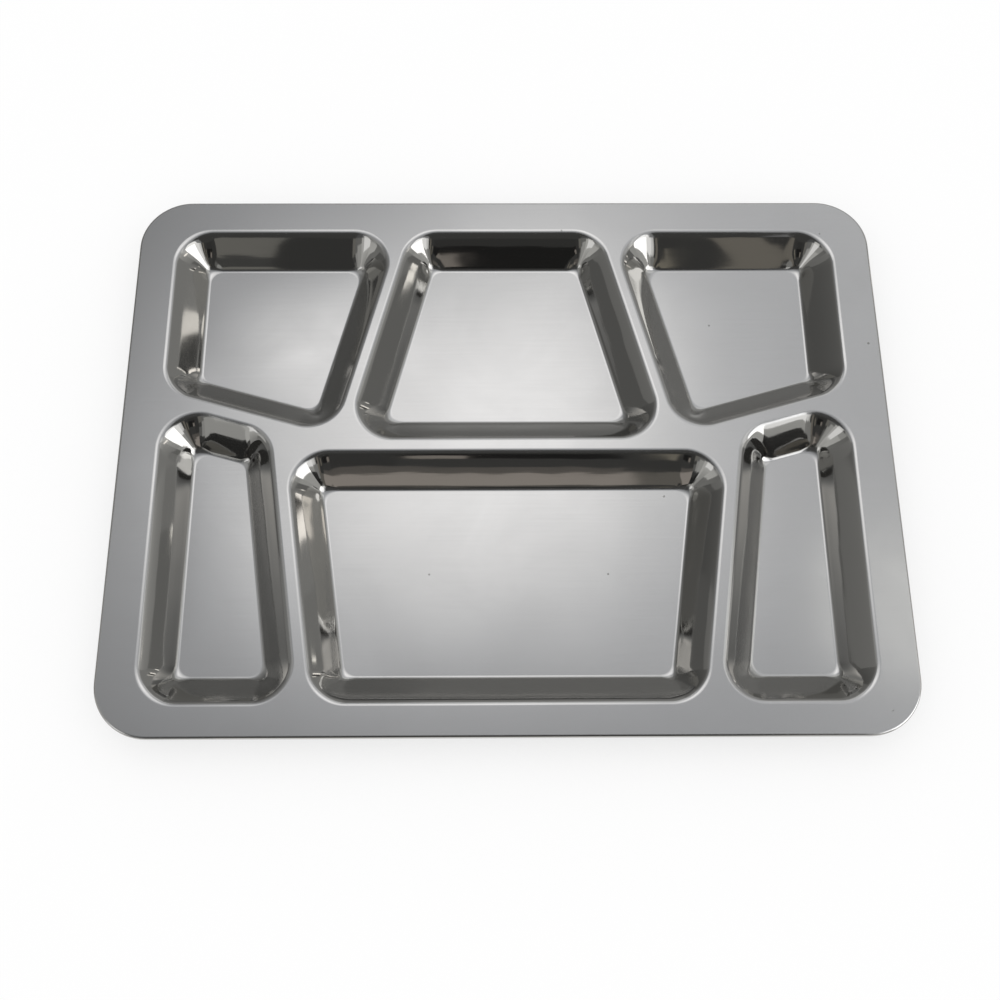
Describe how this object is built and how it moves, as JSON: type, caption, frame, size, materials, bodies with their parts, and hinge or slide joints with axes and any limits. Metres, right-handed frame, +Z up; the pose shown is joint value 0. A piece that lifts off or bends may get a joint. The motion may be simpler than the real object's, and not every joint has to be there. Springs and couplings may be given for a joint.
{
  "type": "divided compartment plate",
  "caption": "Oblong stainless-steel serving plate with drawn compartments for separate foods, slanted webs between them and a rolled outer edge.",
  "frame": {"origin": "middle of the plate's width and depth, on the plane of the compartments' undersides, where it stands on a table", "axes": "+X to the right across the width, +Y to the rear, +Z up out of the compartments"},
  "size_m": [0.394, 0.292, 0.0166],
  "materials": {
    "steel_sheet": "bright satin, as pressed and polished"
  },
  "bodies": {
    "root": {"deck": "steel_sheet", "rolled_edge": "steel_sheet", "rear_left_compartment": "steel_sheet", "rear_centre_compartment": "steel_sheet", "rear_right_compartment": "steel_sheet", "front_left_compartment": "steel_sheet", "front_centre_compartment": "steel_sheet", "front_right_compartment": "steel_sheet"}
  },
  "joints": []
}
